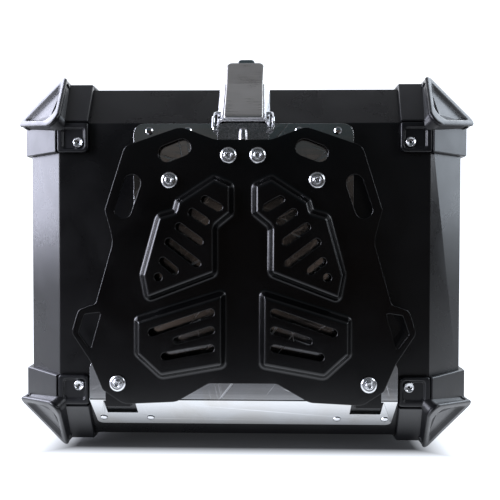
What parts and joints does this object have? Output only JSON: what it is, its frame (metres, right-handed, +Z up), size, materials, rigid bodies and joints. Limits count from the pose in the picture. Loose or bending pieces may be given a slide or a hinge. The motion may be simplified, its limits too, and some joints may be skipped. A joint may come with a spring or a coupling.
{
  "type": "motorcycle top case",
  "caption": "Hard-sided motorcycle top case with chamfered edges, corner bumpers, hinged lid, toggle latches and a slotted quick-release base plate.",
  "frame": {"origin": "middle of the whole object's box in X and Y, on the plane of the base plate's four pads", "axes": "+Z up, +X across, -Y towards the latches at the front, +Y towards the hinges"},
  "size_m": [0.4228, 0.375, 0.324],
  "materials": {
    "black_coated_aluminium": "satin black powder coat on aluminium sheet",
    "black_coated_steel": "satin black powder coat on pressed steel",
    "black_plastic": "moulded black plastic, lightly grained",
    "bare_aluminium": "bare rolled aluminium with light scratches",
    "stainless_steel": "brushed stainless face, polished edges",
    "plated_steel": "bright zinc or chrome plate",
    "black_rubber": "matt",
    "foam_liner": "fine matt foam mat"
  },
  "bodies": {
    "case": {"adapter_plate": "bare_aluminium", "adapter_rivet_1": "bare_aluminium", "adapter_rivet_2": "bare_aluminium", "adapter_rivet_3": "bare_aluminium", "adapter_rivet_4": "bare_aluminium", "adapter_rivet_5": "bare_aluminium", "adapter_rivet_6": "bare_aluminium", "adapter_rivet_7": "bare_aluminium", "adapter_rivet_8": "bare_aluminium", "adapter_spacer_1": "black_rubber", "adapter_spacer_2": "black_rubber", "adapter_spacer_3": "black_rubber", "adapter_spacer_4": "black_rubber", "base_plate": "black_coated_steel", "body_guard_front_left": "black_plastic", "body_guard_front_right": "black_plastic", "body_guard_rear_left": "black_plastic", "body_guard_rear_right": "black_plastic", "body_rim": "bare_aluminium", "body_shell": "black_coated_aluminium", "floor_mat": "foam_liner", "hinge_body_leaf_left": "black_coated_steel", "hinge_body_leaf_right": "black_coated_steel", "hinge_pin_left": "plated_steel", "hinge_pin_right": "plated_steel", "latch_keeper": "stainless_steel", "lid_latch_base": "stainless_steel", "lid_latch_pivot": "plated_steel", "plate_screw_1": "plated_steel", "plate_screw_2": "plated_steel", "plate_screw_3": "plated_steel", "plate_screw_4": "plated_steel", "plate_screw_5": "plated_steel", "plate_screw_6": "plated_steel", "rear_hook_left": "black_coated_steel", "rear_hook_right": "black_coated_steel", "release_latch_base": "stainless_steel", "release_latch_pivot": "plated_steel", "rubber_buffer_1": "black_rubber", "rubber_buffer_2": "black_rubber", "rubber_buffer_3": "black_rubber", "rubber_buffer_4": "black_rubber"},
    "lid": {"hinge_lid_leaf_left": "black_coated_steel", "hinge_lid_leaf_right": "black_coated_steel", "lid_guard_front_left": "black_plastic", "lid_guard_front_right": "black_plastic", "lid_guard_rear_left": "black_plastic", "lid_guard_rear_right": "black_plastic", "lid_latch_keeper": "stainless_steel", "lid_liner": "foam_liner", "lid_rim": "bare_aluminium", "lid_seal": "black_rubber", "lid_shell": "black_coated_aluminium"},
    "lid_latch_lever": {"lid_latch_lever": "stainless_steel"},
    "lid_latch_bail": {"lid_latch_bail": "plated_steel"},
    "lock": {"lock_barrel": "plated_steel", "key": "plated_steel"},
    "release_latch_lever": {"release_latch_lever": "stainless_steel"},
    "release_latch_bail": {"release_latch_bail": "plated_steel"}
  },
  "joints": [
    {"name": "lid_hinge", "type": "hinge", "parent": "case", "child": "lid", "pos_m": [0, 0.1824, 0.231], "axis": [-1, 0, 0], "range_deg": [0, 95]},
    {"name": "lid_latch_lever_pivot", "type": "hinge", "parent": "case", "child": "lid_latch_lever", "pos_m": [0, -0.1492, 0.221], "axis": [-1, 0, 0], "range_deg": [0, 70]},
    {"name": "lid_latch_bail_pivot", "type": "hinge", "parent": "lid_latch_lever", "child": "lid_latch_bail", "pos_m": [0, -0.1492, 0.214], "axis": [-1, 0, 0], "range_deg": [-70, 0]},
    {"name": "lock_turn", "type": "hinge", "parent": "lid_latch_lever", "child": "lock", "pos_m": [0, -0.1492, 0.109], "axis": [0, -1, 0], "range_deg": [0, 90]},
    {"name": "release_latch_lever_pivot", "type": "hinge", "parent": "case", "child": "release_latch_lever", "pos_m": [0, -0.11091, 0.02081], "axis": [1, 0, 0], "range_deg": [0, 70]},
    {"name": "release_latch_bail_pivot", "type": "hinge", "parent": "release_latch_lever", "child": "release_latch_bail", "pos_m": [0, -0.11586, 0.02576], "axis": [1, 0, 0], "range_deg": [-70, 0]}
  ],
  "couplings": [
    {"joint": "lid_latch_bail_pivot", "follows": "lid_latch_lever_pivot", "ratio": -1},
    {"joint": "release_latch_bail_pivot", "follows": "release_latch_lever_pivot", "ratio": -1}
  ]
}
